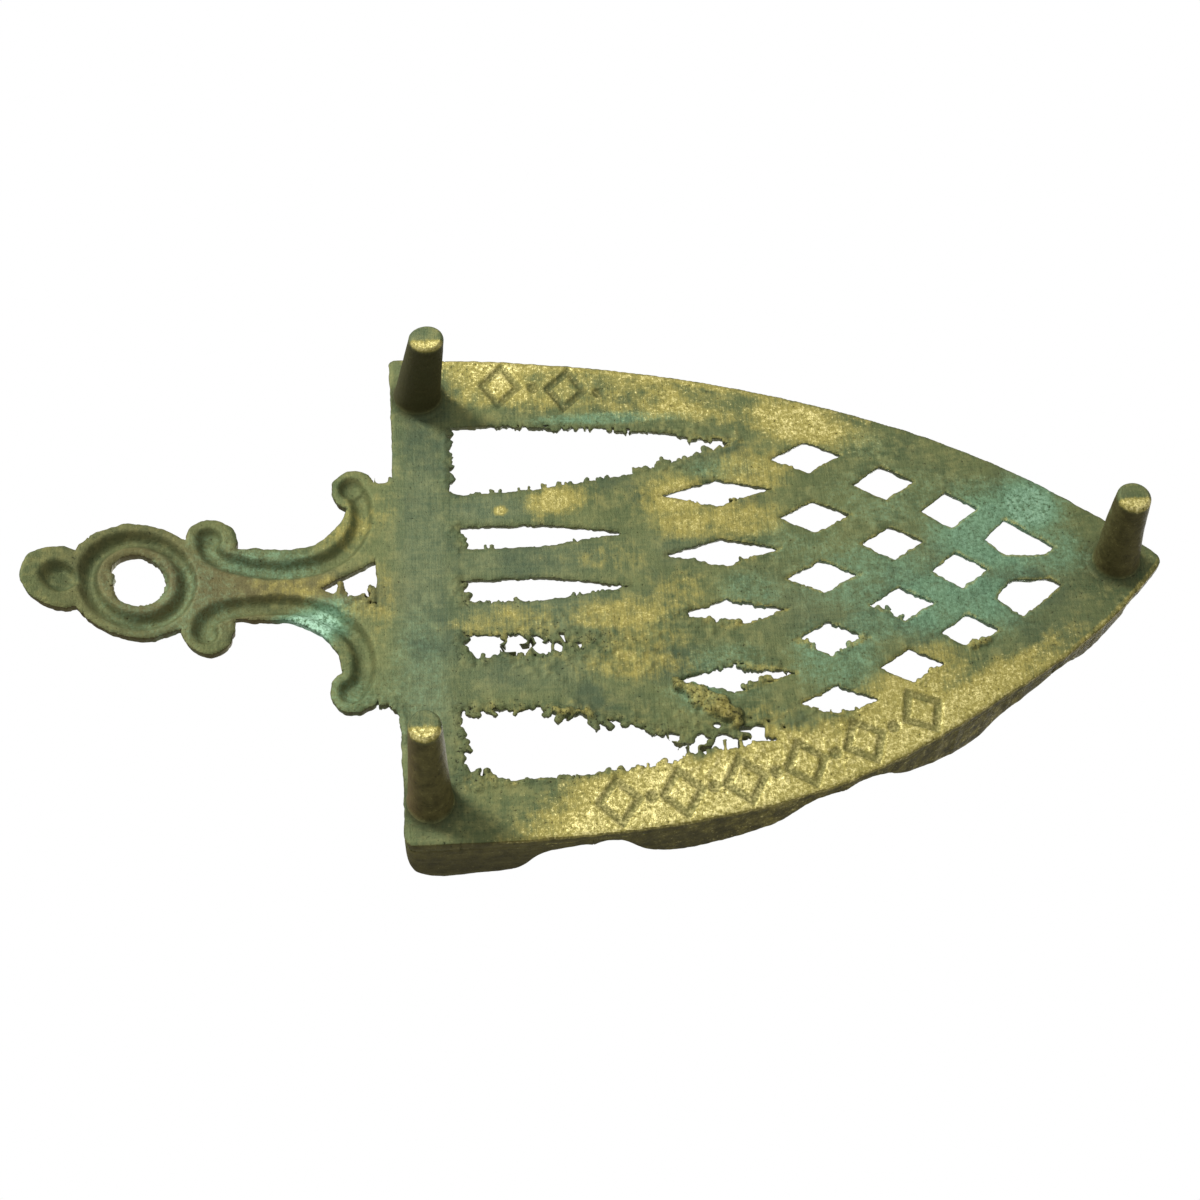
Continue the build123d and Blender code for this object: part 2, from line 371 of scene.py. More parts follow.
def mesh_plate(plate, share, low, high, rows):
    """A closed mesh of one node's share of a plate, between two height fields.

    Gives its points, its polygons, which polygons are cuts to a neighbour, and the fields at its points."""
    level = np.maximum(-plate.metal, share)
    polygons, rims, grid_corners, read = clip_plan(level, plate.grid)
    x, y = np.meshgrid(plate.grid.x, plate.grid.y, indexing="ij")
    plan = np.stack([read(x), read(y)], axis=1)
    draft = np.stack([read(plate.draft[0]), read(plate.draft[1])], axis=1)
    bottom, top = read(low), read(high)
    count, rim_count = len(plan), len(plan) - grid_corners
    points = [np.column_stack([plan, bottom]), np.column_stack([plan + draft, top])]
    for row in range(1, rows):
        share_up = row / rows
        height = bottom[grid_corners:] * (1 - share_up) + top[grid_corners:] * share_up
        points.append(np.column_stack([plan[grid_corners:] + draft[grid_corners:] * share_up, height]))
    faces = [polygon[:, ::-1] for polygon in polygons] + [polygon + count for polygon in polygons]
    cut_faces = [np.zeros(len(face), bool) for face in faces]
    depth, side = np.abs(read(plate.metal)), np.abs(read(share))
    is_cut = (depth > side)[rims].sum(axis=1) > 1

    def level_ids(row):
        if row == 0:
            return rims
        if row == rows:
            return rims + count
        return rims - grid_corners + 2 * count + (row - 1) * rim_count

    for row in range(rows):
        below, above = level_ids(row), level_ids(row + 1)
        faces.append(np.column_stack([below[:, 0], below[:, 1], above[:, 1], above[:, 0]]))
        cut_faces.append(is_cut)
    fields = {}
    for key, field in plate.fields.items():
        values = read(field)
        fields[key] = np.concatenate([values, values] + [values[grid_corners:]] * (rows - 1))
    return np.concatenate(points), faces, cut_faces, fields


# ---- features of the casting

# Casting flash: rows of small twigs of metal that grow from the edge of a hole.
# Each is start x, y, end x, y along the edge, number of twigs, largest radius, heading in degrees, steps.
FLASH = [
    (12.0, 43.9, 19.5, 44.6, 34, 1.0, -80, 5), (11.6, 29.0, 12.2, 44.0, 56, 0.9, 5, 4),
    (12.0, 27.2, 27.0, 27.8, 30, 0.8, 85, 4), (16.5, 27.4, 18.5, 27.8, 8, 0.8, 85, 9),
    (23.6, 27.6, 25.0, 27.9, 6, 0.8, 80, 6), (28.5, 28.1, 39.0, 30.4, 40, 0.9, 80, 5),
    (39.0, 30.4, 52.0, 33.6, 30, 0.9, 70, 5), (50.0, 33.2, 61.0, 35.6, 44, 0.7, 75, 10),
    (56.0, 41.8, 64.0, 40.4, 16, 0.6, -80, 4), (24.0, 44.5, 36.0, 44.3, 16, 0.8, -80, 3),
    (38.0, 43.9, 60.0, 41.6, 30, 0.7, -90, 3), (14.0, 44.7, 24.0, 44.7, 8, 0.8, -90, 3),
    (14.0, 16.9, 34.0, 16.9, 44, 0.8, -90, 3), (33.0, 16.7, 47.0, 14.7, 60, 0.9, -90, 6),
    (34.0, 11.3, 46.0, 13.3, 30, 0.8, 90, 5), (12.6, 11.4, 13.0, 16.0, 18, 0.9, 5, 4),
    (20.0, 11.0, 34.0, 11.2, 26, 0.8, 90, 3), (56.0, 22.4, 60.5, 20.8, 14, 0.7, 60, 3),
    (66.5, 20.0, 76.0, 21.9, 22, 0.7, 110, 3), (68.0, 25.6, 75.0, 23.6, 14, 0.7, -90, 3),
    (55.8, 8.2, 62.0, 9.8, 34, 0.8, -60, 5), (62.0, 9.8, 68.0, 11.2, 20, 0.8, -90, 4),
    (79.8, 15.4, 84.0, 17.6, 14, 0.7, -40, 4), (88.5, 19.2, 94.6, 15.8, 24, 0.7, 230, 3),
    (86.0, 34.2, 93.0, 32.2, 14, 0.7, -90, 3), (98.0, 8.8, 102.5, 11.6, 12, 0.7, -60, 3),
    (103.5, 27.4, 109.5, 23.4, 18, 0.7, 215, 3), (115.5, 19.8, 120.5, 17.2, 20, 0.7, -110, 3),
    (12.0, -23.2, 50.0, -27.0, 30, 0.5, -90, 2), (50.0, -27.6, 73.0, -33.0, 70, 0.7, -90, 4),
    (20.0, -41.5, 60.0, -37.6, 60, 0.6, 90, 2), (60.0, -37.8, 74.0, -34.8, 44, 0.7, 90, 5),
    (11.2, -40.0, 11.4, -25.0, 34, 0.7, 0, 3), (14.0, -10.2, 46.0, -11.6, 24, 0.5, -90, 1),
    (14.0, 3.4, 46.0, 1.4, 24, 0.5, -90, 1), (12.6, -15.6, 13.2, -10.0, 16, 0.9, 0, 3),
    (12.6, -3.0, 13.2, 3.4, 16, 0.9, 0, 3),
    (12.6, 11.4, 13.2, 16.8, 30, 1.0, 0, 4), (58.0, -5.4, 76.0, -5.2, 20, 0.6, -90, 1),
    (58.0, -20.2, 76.0, -20.0, 20, 0.6, -90, 1), (-4.6, -1.0, -4.4, 4.0, 12, 0.8, 180, 3),
    (-12.0, 0.2, -5.0, 4.0, 46, 0.8, -65, 6), (-57.0, -2.0, -56.4, 3.0, 10, 0.8, 0, 2),
    (0.2, 27.5, 0.8, 36.0, 40, 0.9, 190, 1), (-4.0, 25.2, -0.5, 26.0, 20, 0.9, 80, 3),
]
FLASH_SEED = 11
TWIG_SPREAD = 40  # degrees by which a twig's heading differs from its row's
TWIG_CURL = 1.0  # radians that it turns from lump to lump
LUMP_SPACING = 1.25  # in lump radii
SMALLEST_LUMP = 0.38
LARGEST_LUMP = 0.9


def add_flash(plate):
    """Gives the flash as chains of lumps: the lumps' own depth field, which shape_metal joins to the plate's
    metal.
    """
    chance = np.random.default_rng(FLASH_SEED)
    lumps = np.full(plate.grid.shape, -REACH)
    for x0, y0, x1, y1, count, radius, heading, steps in FLASH:
        for _ in range(count):
            t = chance.uniform()
            x, y = x0 + (x1 - x0) * t, y0 + (y1 - y0) * t
            angle = math.radians(heading + chance.normal() * TWIG_SPREAD)
            size = radius * chance.uniform(0.45, 0.85)
            for _ in range(1 + int(steps * chance.uniform() ** 1.7)):
                near = size - np.hypot(plate.grid.x[:, None] - x, plate.grid.y[None, :] - y)
                lumps = np.maximum(lumps, near)
                angle += chance.normal() * TWIG_CURL
                x += math.cos(angle) * size * LUMP_SPACING
                y += math.sin(angle) * size * LUMP_SPACING
                size = min(LARGEST_LUMP, max(SMALLEST_LUMP, size * chance.uniform(0.7, 1.3)))
    return lumps


NO_METAL = -0.3  # depth given to what is taken away


def drop_islands(metal, sure):
    """Takes away metal that isn't joined to the sure metal."""
    reached = sure.copy()
    while True:
        wider = reached.copy()
        wider[1:] |= reached[:-1]
        wider[:-1] |= reached[1:]
        wider[:, 1:] |= reached[:, :-1]
        wider[:, :-1] |= reached[:, 1:]
        wider &= metal > 0
        if (wider == reached).all():
            break
        reached = wider
    return np.where((metal > 0) & ~reached, NO_METAL, metal)


def noise_over(grid, size, layers, seed):
    return layered_noise(grid.points(), size, layers, seed).reshape(grid.shape)


def area(grid, x, y, half_x, half_y, turn=0.0):
    """1 at the middle of an oval of the grid, falling to 0 at its edge."""
    return patch(grid.points(), x, y, half_x, half_y, turn).reshape(grid.shape)


# Heaps of rough metal: start x, y, end x, y, number of lumps, their radius, how far they rise, seed.
HEAPS = [
    (55.6, 23.8, 65.4, 32.0, 60, 1.1, 1.8, 5), (59.0, 26.2, 65.0, 31.0, 40, 1.8, 1.6, 9),
    (64.6, 29.6, 66.8, 33.6, 16, 1.5, 2.2, 8), (115.5, 18.4, 119.5, 17.4, 6, 1.2, 0.8, 6),
    (31.0, 29.4, 38.0, 30.6, 10, 1.1, 0.9, 7),
]


def mound(grid, x0, y0, x1, y1, count, radius, rise, seed):
    """A rough heap of metal that stands up from the surface, along a line."""
    chance = np.random.default_rng(seed)
    relief = np.zeros(grid.shape)
    for index in range(count):
        t = index / (count - 1)
        x = x0 + (x1 - x0) * t + chance.normal() * radius * 0.3
        y = y0 + (y1 - y0) * t + chance.normal() * radius * 0.3
        size = radius * chance.uniform(0.6, 1.15)
        near = 1 - ((grid.x[:, None] - x) ** 2 + (grid.y[None, :] - y) ** 2) / size**2
        relief = np.maximum(relief, rise * chance.uniform(0.6, 1) * np.sqrt(np.clip(near, 0, 1)))
    return relief


def edge_round(depth, height, width):
    """How far a surface falls away at its edge."""
    return height * (1 - np.clip(depth / width, 0, 1)) ** 2


def lozenge(u, v, half_u, half_v):
    """Distance from the outline of a lozenge."""
    return np.abs(np.abs(u) / half_u + np.abs(v) / half_v - 1) / math.hypot(1 / half_u, 1 / half_v)


MARK_INSET = 6.4  # how far the row of marks lies inside the deck's edge
MARK_DEPTH = 0.5
MARK_STROKE = 0.9
DOT_RADIUS = 0.5
LOZENGE_HALVES = (3.9, 4.7)  # along the rail and across it
LEFT_MARKS = np.arange(43, 108, 6.4)
RIGHT_MARKS = np.arange(24, 48, 7.2)
SLOPE_REACH = 4  # how far to each side the rail's direction is taken


def engrave(plate, edge, stations, side):
    """A plain row of lozenges and dots, cut along one rail."""
    relief = np.zeros(plate.grid.shape)
    x, y = plate.grid.x[:, None], plate.grid.y[None, :]
    for index, station in enumerate(stations):
        edge_y = np.interp(station, edge[0], edge[1])
        ahead, behind = np.interp([station + SLOPE_REACH, station - SLOPE_REACH], edge[0], edge[1])
        slope = (ahead - behind) / (2 * SLOPE_REACH)
        along = np.array([1, slope]) / math.hypot(1, slope)
        inward = np.array([along[1], -along[0]]) * side
        centre = np.array([station, edge_y]) + inward * MARK_INSET
        u = (x - centre[0]) * along[0] + (y - centre[1]) * along[1]
        v = (x - centre[0]) * inward[0] + (y - centre[1]) * inward[1]
        if index % 2:
            distance = np.hypot(u, v) - DOT_RADIUS
        else:
            distance = lozenge(u, v, *LOZENGE_HALVES)
        relief = np.maximum(relief, MARK_DEPTH * (1 - np.clip(distance / MARK_STROKE, 0, 1) ** 3))
    return relief


# ---- the pieces

FIELDS = ("crumble", "hollow", "edge", "lump", "pits")  # what is known at each point of a piece
PLATE_ROWS = 4  # rows of faces up the walls of the plate
GALLERY_ROWS = 10
EVEN_ROUGHNESS = 0.09  # how far the outlines wander
THINNEST = 0.9  # least thickness left under a groove
pieces = []
foot_centres, foot_tips = {}, {}


def add_piece(name, points, faces, cut_faces, fields):
    pieces.append({"name": name, "points": points, "faces": faces, "cuts": cut_faces, "fields": fields})


def rim_curve(outer, side):
    """The deck's outer edge on one side, as x and y in order of x."""
    middle = (outer[:, 0:2] + outer[:, 2:4]) / 2
    chosen = middle[(middle[:, 1] * side > 0) & (outer[:, 5] * side > 0.2)]
    order = np.argsort(chosen[:, 0])
    return chosen[order, 0], chosen[order, 1]


# Hollows in the ends of the scrolls and in the end disc: x, y, radius and depth.
DIMPLES = [
    (-8.9, -25.8, 2.9, 1.7), (-8.9, 22.9, 2.9, 1.8), (-37.8, -12.6, 2.8, 1.6), (-37.8, 9.8, 2.8, 1.7),
    (-66.6, -0.4, 3.7, 1.6),
]


def outward_draft(plate, amount):
    """How far each point of the upper face stands back from the holes, as x and y shifts."""
    soft = blur(plate.metal, 0.5)
    slope_x, slope_y = np.gradient(soft, STEP)
    length = np.maximum(np.hypot(slope_x, slope_y), 0.3)
    near = amount * np.clip(1 - np.clip(plate.metal, 0, REACH) / 2.2, 0, 1)
    return slope_x / length * near, slope_y / length * near


def rounded_box(grid, across, along, corner):
    """Depth inside a box of the plan with rounded corners."""
    x, y = grid.x[:, None], grid.y[None, :]
    out_x = np.abs(x - sum(across) / 2) - (across[1] - across[0]) / 2 + corner
    out_y = np.abs(y - sum(along) / 2) - (along[1] - along[0]) / 2 + corner
    outside = np.hypot(np.maximum(out_x, 0), np.maximum(out_y, 0)) + np.minimum(np.maximum(out_x, out_y), 0)
    return corner - outside


LACE = [(70, 38.2, 12, 4.5, 4), (39, 14.2, 9, 4.4)]  # where holes are bridged by a lace of metal
EATEN = (67, 35.2, 8, 2.3, 8)  # where small holes are eaten into the edge
NOTCH = ((-3.7, -0.9), (-34.0, -27.0), 0.8)  # in the heel edge, beside the right scroll


def shape_metal(plate, holes, on_deck, left_side):
    """Roughens the plate's edges, and gives the depth field of the lumps that are joined to it."""
    grid = plate.grid
    ragged = noise_over(grid, 1.25, 2, 21)
    patchy = 0.5 + 0.5 * noise_over(grid, 6.0, 2, 24)
    even = noise_over(grid, 2.2, 3, 22)
    toe_side = smooth_step(85, 125, grid.x)[:, None] * 0.5
    amount = holes * (0.3 + 0.3 * left_side) * (1 - toe_side) * (0.5 + patchy)
    metal = plate.depth + even * EVEN_ROUGHNESS + (np.abs(ragged) - 0.25) * amount
    metal += (1 - on_deck) * (even * 0.12 + ragged * 0.07)
    over = np.maximum.reduce([area(grid, *oval) for oval in LACE])
    lace = (0.08 + 0.26 * over - np.abs(noise_over(grid, 1.8, 1, 31))) * 1.5
    lumps = np.maximum(add_flash(plate), np.where(over > 0.02, lace, -REACH))
    eaten = np.where(area(grid, *EATEN) > 0.3, (0.40 - noise_over(grid, 1.7, 1, 33)) * 1.6, REACH)
    metal = np.minimum(np.maximum(metal, lumps), eaten)
    plate.metal = drop_islands(metal, plate.depth > 0.5)
    return lumps


def cut_grooves(plate):
    """How deep the handle's grooves and dimples are. The grooves are softer than the CAD's."""
    x, y = plate.grid.x[:, None], plate.grid.y[None, :]
    grooves = np.where(x < 0, 2.1 * blur(plate.hollow, 0.6) - 0.6 * blur(plate.hollow, 2.2), 0)
    for dimple_x, dimple_y, reach, deep in DIMPLES:
        apart = np.hypot(x - dimple_x, y - dimple_y)
        grooves = np.maximum(grooves, deep * np.clip(1 - (apart / reach) ** 4, 0, 1) ** 1.5)
    return grooves


def build_plate():
    """Deck and handle: one plate, flat at the deck and bent down along the handle."""
    plate = Plate(DECK + HANDLE)
    grid = plate.grid
    outer = plate.outer_rim()
    outer_distance = grid.distance(outer)
    on_deck = smooth_step(-1.0, 1.0, grid.x)[:, None]
    left_side = smooth_step(-10, 14, grid.y)[None, :]
    holes = smooth_step(2.2, REACH, outer_distance) * on_deck
    lumps = shape_metal(plate, holes, on_deck, left_side)
    inward = np.clip(plate.metal, 0, REACH)
    edge = np.exp(-((inward / 0.7) ** 2))
    lumpy = smooth_step(-0.6, 0.4, lumps)
    heap = np.maximum.reduce([mound(grid, *row) for row in HEAPS])
    on_heap = smooth_step(0.05, 0.5, heap)
    crumble = np.maximum.reduce([edge * holes * 0.8, lumpy * 1.1, edge * (1 - on_deck) * 0.4, on_heap * 1.3])
    pits = 0.6 * np.exp(-((inward / 1.5) ** 2)) * holes * left_side
    pits = pits * (0.25 + 0.75 * smooth_step(58, 40, grid.x)[:, None])
    pits = np.maximum(pits, on_heap * 0.7)
    plate.metal = np.minimum(plate.metal, -rounded_box(grid, *NOTCH))

    grooves = cut_grooves(plate)
    left, right = rim_curve(outer, 1), rim_curve(outer, -1)
    marks = np.maximum(engrave(plate, left, LEFT_MARKS, 1), engrave(plate, right, RIGHT_MARKS, -1))
    inner_round = edge_round(plate.metal, 0.4, 1.0) * holes
    outer_round = edge_round(outer_distance, 0.4, 0.9) * on_deck
    handle_round = edge_round(plate.metal, 0.35, 0.8) * (1 - on_deck)
    low = plate.base_low + inner_round + outer_round + handle_round + grooves + marks
    low = low - 0.3 * lumpy - heap
    from_rim = np.where(outer_distance >= REACH, 5.0, outer_distance)
    walled = smooth_step(5.0, 2.0, from_rim) * smooth_step(1.0, 2.5, grid.x)[:, None]
    high = plate.base_high - edge_round(plate.metal, 0.5, 1.2) * (1 - walled)
    high = np.maximum(high, low + THINNEST)
    draft_share = holes + 0.35 * (1 - on_deck)
    plate.draft = tuple(shift * draft_share for shift in outward_draft(plate, 0.75))
    plate.fields = {
        "crumble": crumble,
        "hollow": np.clip(grooves / 0.9, 0, 1) + np.clip(marks / 0.3, 0, 1) * 0.75,
        "edge": edge * np.maximum(holes, 0.5 * (1 - on_deck)),
        "lump": np.maximum(lumpy * holes * 0.6, on_heap * 1.5),
        "pits": pits,
    }
    for name in DECK + HANDLE:
        add_piece(name, *mesh_plate(plate, plate.shares[name], low, high, PLATE_ROWS))
    return left, right


def build_gallery(names):
    """One side of the gallery: a wall that stands on the deck's edge."""
    plate = Plate(names)
    plate.metal = plate.depth + noise_over(plate.grid, 2.2, 3, 22) * EVEN_ROUGHNESS
    zero = np.zeros(plate.grid.shape)
    plate.draft = (zero, zero)
    plate.fields = {key: zero for key in FIELDS}
    high = plate.base_high - edge_round(plate.metal, 0.5, 0.9)
    for name in names:
        add_piece(name, *mesh_plate(plate, plate.shares[name], plate.base_low, high, GALLERY_ROWS))


FOOT_SIDES = 72
FOOT_ROOT = 0.2  # how far a foot runs up into the deck
ROOT_ROWS = 14
ROOT_ROW_HEIGHT = 0.16
SHAFT_ROWS = 26
TIP_HEIGHTS = [0.75, 0.5, 0.3, 0.15, 0.05, 0.0, 0.0, 0.0]
FILLET_REACH = 1.9
FILLET_HEIGHT = 0.7
TIP_ROUNDING = 0.7
HEEL_LIMIT = 0.5  # a foot's root comes no nearer to the heel edge than this


def build_foot(name):
    """A tapered foot that leans, with a fillet at its root and a worn, rounded tip."""
    solid = Solid([name])
    at_base = solid.points[solid.points[:, 2] > UNDERSIDE - 0.01]
    at_tip = solid.points[solid.points[:, 2] < 0.01]
    base = (at_base.min(0) + at_base.max(0))[:2] / 2
    tip = (at_tip.min(0) + at_tip.max(0))[:2] / 2
    foot_centres[name], foot_tips[name] = base, tip
    base_radius = np.ptp(at_base[:, 0]) / 2
    tip_radius = np.ptp(at_tip[:, 0]) / 2
    heights = [UNDERSIDE + FOOT_ROOT - ROOT_ROW_HEIGHT * step for step in range(ROOT_ROWS)]
    heights += list(np.linspace(UNDERSIDE - 2.6, 1.0, SHAFT_ROWS)) + TIP_HEIGHTS
    radii = []
    for height in heights:
        t = 1 - height / UNDERSIDE
        radius = base_radius + (tip_radius - base_radius) * t
        radius += FILLET_REACH * math.exp(-max(0.0, UNDERSIDE + FOOT_ROOT - height) / FILLET_HEIGHT)
        radius -= TIP_ROUNDING * max(0.0, 1 - height) ** 2
        radii.append(radius)
    radii[-2:] = [radii[-3] * 0.66, radii[-3] * 0.33]  # rings of the flat tip
    angle = np.linspace(0, 2 * math.pi, FOOT_SIDES, endpoint=False)
    rings = []
    for height, radius in zip(heights, radii):
        t = 1 - height / UNDERSIDE
        centre = base + (tip - base) * t
        ring_x = centre[0] + radius * np.cos(angle)
        ring_y = centre[1] + radius * np.sin(angle)
        rings.append(np.column_stack([ring_x, ring_y, np.full(FOOT_SIDES, height)]))
    points = np.concatenate(rings + [[[*tip, 0.0]], [[*base, heights[0]]]])
    at_root = smooth_step(UNDERSIDE - 6, UNDERSIDE - 1, points[:, 2])
    points[:, 0] = np.maximum(points[:, 0], HEEL_LIMIT - 5 * (1 - at_root))
    around = np.arange(FOOT_SIDES)
    after = (around + 1) % FOOT_SIDES
    faces = []
    for row in range(len(heights) - 1):
        here, below = row * FOOT_SIDES, (row + 1) * FOOT_SIDES
        faces.append(np.column_stack([here + around, below + around, below + after, here + after]))
    last = (len(heights) - 1) * FOOT_SIDES
    tip_id, root_id = len(points) - 2, len(points) - 1
    faces.append(np.column_stack([last + after, last + around, np.full(FOOT_SIDES, tip_id)]))
    faces.append(np.column_stack([around, after, np.full(FOOT_SIDES, root_id)]))
    cuts = [np.zeros(len(face), bool) for face in faces]
    cuts[-1][:] = True
    zero = np.zeros(len(points))
    add_piece(name, points, faces, cuts, {key: zero for key in FIELDS})


HEEL_SKEW = 0.9  # how far the heel edge stands forward at its left end, and back at its right
HALF_WIDTH = 58
HOLE_SHIFT = 0.75  # how far the holes stand to the left of the CAD's: less at the ends, more in the middle
HANDLE_SHIFT = 0.3  # how far the handle stands to the left
DISC_SHIFT = 0.5  # how far forward the end disc stands
TOE_SHIFT = 0.4  # how far forward the toe stands
WANDER = 0.07
ROUGHNESS = 0.035
CRUMBLING = 0.2  # added on flash, heaps and ragged edges


def roughen(points, crumble):
    """Shifts every point and adds noise, by amounts that depend on its place, so that pieces stay joined."""
    x, y, z = points.T.copy()
    points[:, 0] += HEEL_SKEW * y / HALF_WIDTH * np.exp(-((x / 8) ** 2))
    raised = smooth_step(10, 24, z)
    points[:, 0] += DISC_SHIFT * smooth_step(-40, -56, x) + TOE_SHIFT * smooth_step(118, 130, x) * raised
    inner = smooth_step(58, 44, np.abs(y) + np.clip(x - 20, 0, 200) * 0.36) * smooth_step(8, 16, x)
    points[:, 1] += HOLE_SHIFT * inner * raised * (0.6 + 0.7 * patch(points, 62, 0, 14, 60))
    points[:, 1] += HANDLE_SHIFT * smooth_step(-1, -12, x)
    for axis in range(3):
        seed = 100 + 17 * axis
        move = layered_noise(points, 7.0, 2, seed) * WANDER
        move += layered_noise(points, 1.7, 2, seed + 5) * ROUGHNESS
        move += layered_noise(points, 1.5, 2, seed + 9) * CRUMBLING * crumble
        points[:, axis] += move
    points[:, 2] = np.maximum(points[:, 2], 0.0)


def face_normals(points, faces):
    """Area-weighted normals, summed over the triangles of each polygon."""
    total = np.zeros((len(faces), 3))
    first = points[faces[:, 0]]
    for k in range(1, faces.shape[1] - 1):
        total += np.cross(points[faces[:, k]] - first, points[faces[:, k + 1]] - first)
    return total


def shared_normals():
    """One normal for each place, summed over all the pieces that meet there, cuts left out."""
    places, sums = [], []
    for piece in pieces:
        total = np.zeros_like(piece["points"])
        for faces, cuts in zip(piece["faces"], piece["cuts"]):
            normal = face_normals(piece["points"], faces)
            normal[cuts] = 0
            for k in range(faces.shape[1]):
                np.add.at(total, faces[:, k], normal)
        sums.append(total)
        places.append(np.round(piece["points"], 3))
    _, place = np.unique(np.concatenate(places), axis=0, return_inverse=True)
    place = place.ravel()
    merged = np.zeros((place.max() + 1, 3))
    np.add.at(merged, place, np.concatenate(sums))
    normals = merged[place]
    length = np.linalg.norm(normals, axis=1, keepdims=True)
    normals = np.where(length > 1e-12, normals / np.maximum(length, 1e-12), [0, 0, 1])
    start = 0
    for piece in pieces:
        piece["normals"] = normals[start:start + len(piece["points"])]
        start += len(piece["points"])


def make_object(piece):
    """A Blender mesh with its shared normals and its patina layout, in metres."""
    name, points, normals = piece["name"], piece["points"], piece["normals"]
    mesh = bpy.data.meshes.new(f"{name}_cast")
    loops = np.concatenate([faces.ravel() for faces in piece["faces"]])
    totals = np.concatenate([np.full(len(faces), faces.shape[1]) for faces in piece["faces"]])
    cuts = np.concatenate(piece["cuts"])
    flat = np.concatenate([face_normals(points, faces) for faces in piece["faces"]])
    flat /= np.maximum(np.linalg.norm(flat, axis=1, keepdims=True), 1e-12)
    mesh.vertices.add(len(points))
    mesh.vertices.foreach_set("co", ((points + ORIGIN) * MM).astype(np.float32).ravel())
    mesh.loops.add(len(loops))
    mesh.loops.foreach_set("vertex_index", loops.astype(np.int32))
    mesh.polygons.add(len(totals))
    starts = np.concatenate([[0], np.cumsum(totals)[:-1]])
    mesh.polygons.foreach_set("loop_start", starts.astype(np.int32))
    mesh.polygons.foreach_set("loop_total", totals.astype(np.int32))
    mesh.polygons.foreach_set("use_smooth", np.ones(len(totals), bool))
    mesh.update(calc_edges=True)
    corner_normals = normals[loops]
    loop_cut = np.repeat(cuts, totals)
    corner_normals[loop_cut] = np.repeat(flat, totals, axis=0)[loop_cut]
    mesh.normals_split_custom_set(corner_normals.astype(np.float32))
    for key, values in patina_layout(points, normals, piece["fields"]).items():
        attribute = mesh.attributes.new(key, "FLOAT", "POINT")
        attribute.data.foreach_set("value", values.astype(np.float32))
    obj = bpy.data.objects.new(f"{name}_cast", mesh)
    bpy.context.scene.collection.objects.link(obj)
    obj.data.materials.append(brass)
    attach(obj, "root")
    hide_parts(name)


# ---- where the patina and the painted shade lie

def patch(points, x, y, half_x, half_y, turn=0.0):
    """A soft oval patch, 1 in the middle and 0 outside."""
    angle = math.radians(turn)
    dx, dy = points[:, 0] - x, points[:, 1] - y
    u = dx * math.cos(angle) + dy * math.sin(angle)
    v = dy * math.cos(angle) - dx * math.sin(angle)
    return np.clip(1.35 * np.exp(-((u / half_x) ** 2 + (v / half_y) ** 2)), 0, 1)


# Ovals of patina: strength, x, y, half length, half width, and its turn in degrees where it has one.
GOLD_PATCHES = [
    (0.65, 34, -20.5, 6, 4, -10), (0.7, 59, -20, 7, 5, -10), (0.5, 70, -14, 12, 5), (0.35, 58, 4, 7, 6),
    (0.6, 61, -13.5, 7, 4.5), (0.75, 87, -38, 11, 6, 20), (0.5, 76, -26, 9, 6), (0.65, 101, 29, 16, 6, -35),
    (0.55, 46, 8, 12, 4), (0.35, 50, 14, 9, 5), (0.4, -10, -16, 5, 8, 60), (0.3, 44, -6, 10, 4),
    (0.4, 22, 9, 12, 4), (0.3, -16, -1, 12, 3), (0.9, 22, -18.5, 1.3, 1.1), (0.45, 48, 20, 10, 4),
    (0.25, -3, 2, 3, 12), (0.3, -7, 4, 5, 3), (0.35, 70, 33, 8, 3), (0.35, 100, -44, 12, 4, 20),
]
TEAL_PATCHES = [
    (0.85, 124, -8, 14, 12), (0.8, 114, 8, 16, 10), (0.4, 66, 20, 10, 5), (0.6, 88, 20, 10, 9),
    (0.55, 60, 27, 6, 5), (0.55, 98, 2, 18, 10), (0.35, 104, -18, 18, 10), (0.35, 84, -8, 12, 8),
    (0.5, 70, -27, 10, 3), (0.7, 47, -41.5, 17, 1.7), (0.35, 62, 27, 14, 4), (0.95, 133, -14, 8, 8),
    (0.6, 137, -3, 7, 7), (0.3, 0, 27, 8, 11), (0.4, -9, 24, 6, 6), (0.3, 96, -33, 14, 5, 20),
    (0.45, 72, 4, 8, 6), (0.5, 97, 13, 8, 5), (0.3, 4, 20, 8, 20), (1.4, -19, 9.5, 10, 5, -35),
    (0.5, -26, -7, 12, 4), (0.35, -45, 3, 18, 14), (0.35, -38, -10, 6, 6),
]
RUDDY_PATCHES = [
    (0.9, -49, -1, 14, 12), (0.9, -34, 0, 12, 9), (0.8, -18, 0, 14, 5),
]
SLATE_PATCHES = [
    (1.0, 20, -19, 11, 4), (0.8, 28, -6, 20, 5), (0.9, 30, 7, 20, 5), (0.6, 26, 21, 16, 5),
    (0.6, 120, 2, 18, 12), (0.9, 6, 0, 6, 50), (0.6, 90, 8, 16, 9), (0.5, 66, -31, 8, 3),
    (0.6, 60, -8, 7, 4),
]


def ovals(points, rows):
    """The strongest of some soft oval patches at each point."""
    return np.maximum.reduce([strength * patch(points, *oval) for strength, *oval in rows])


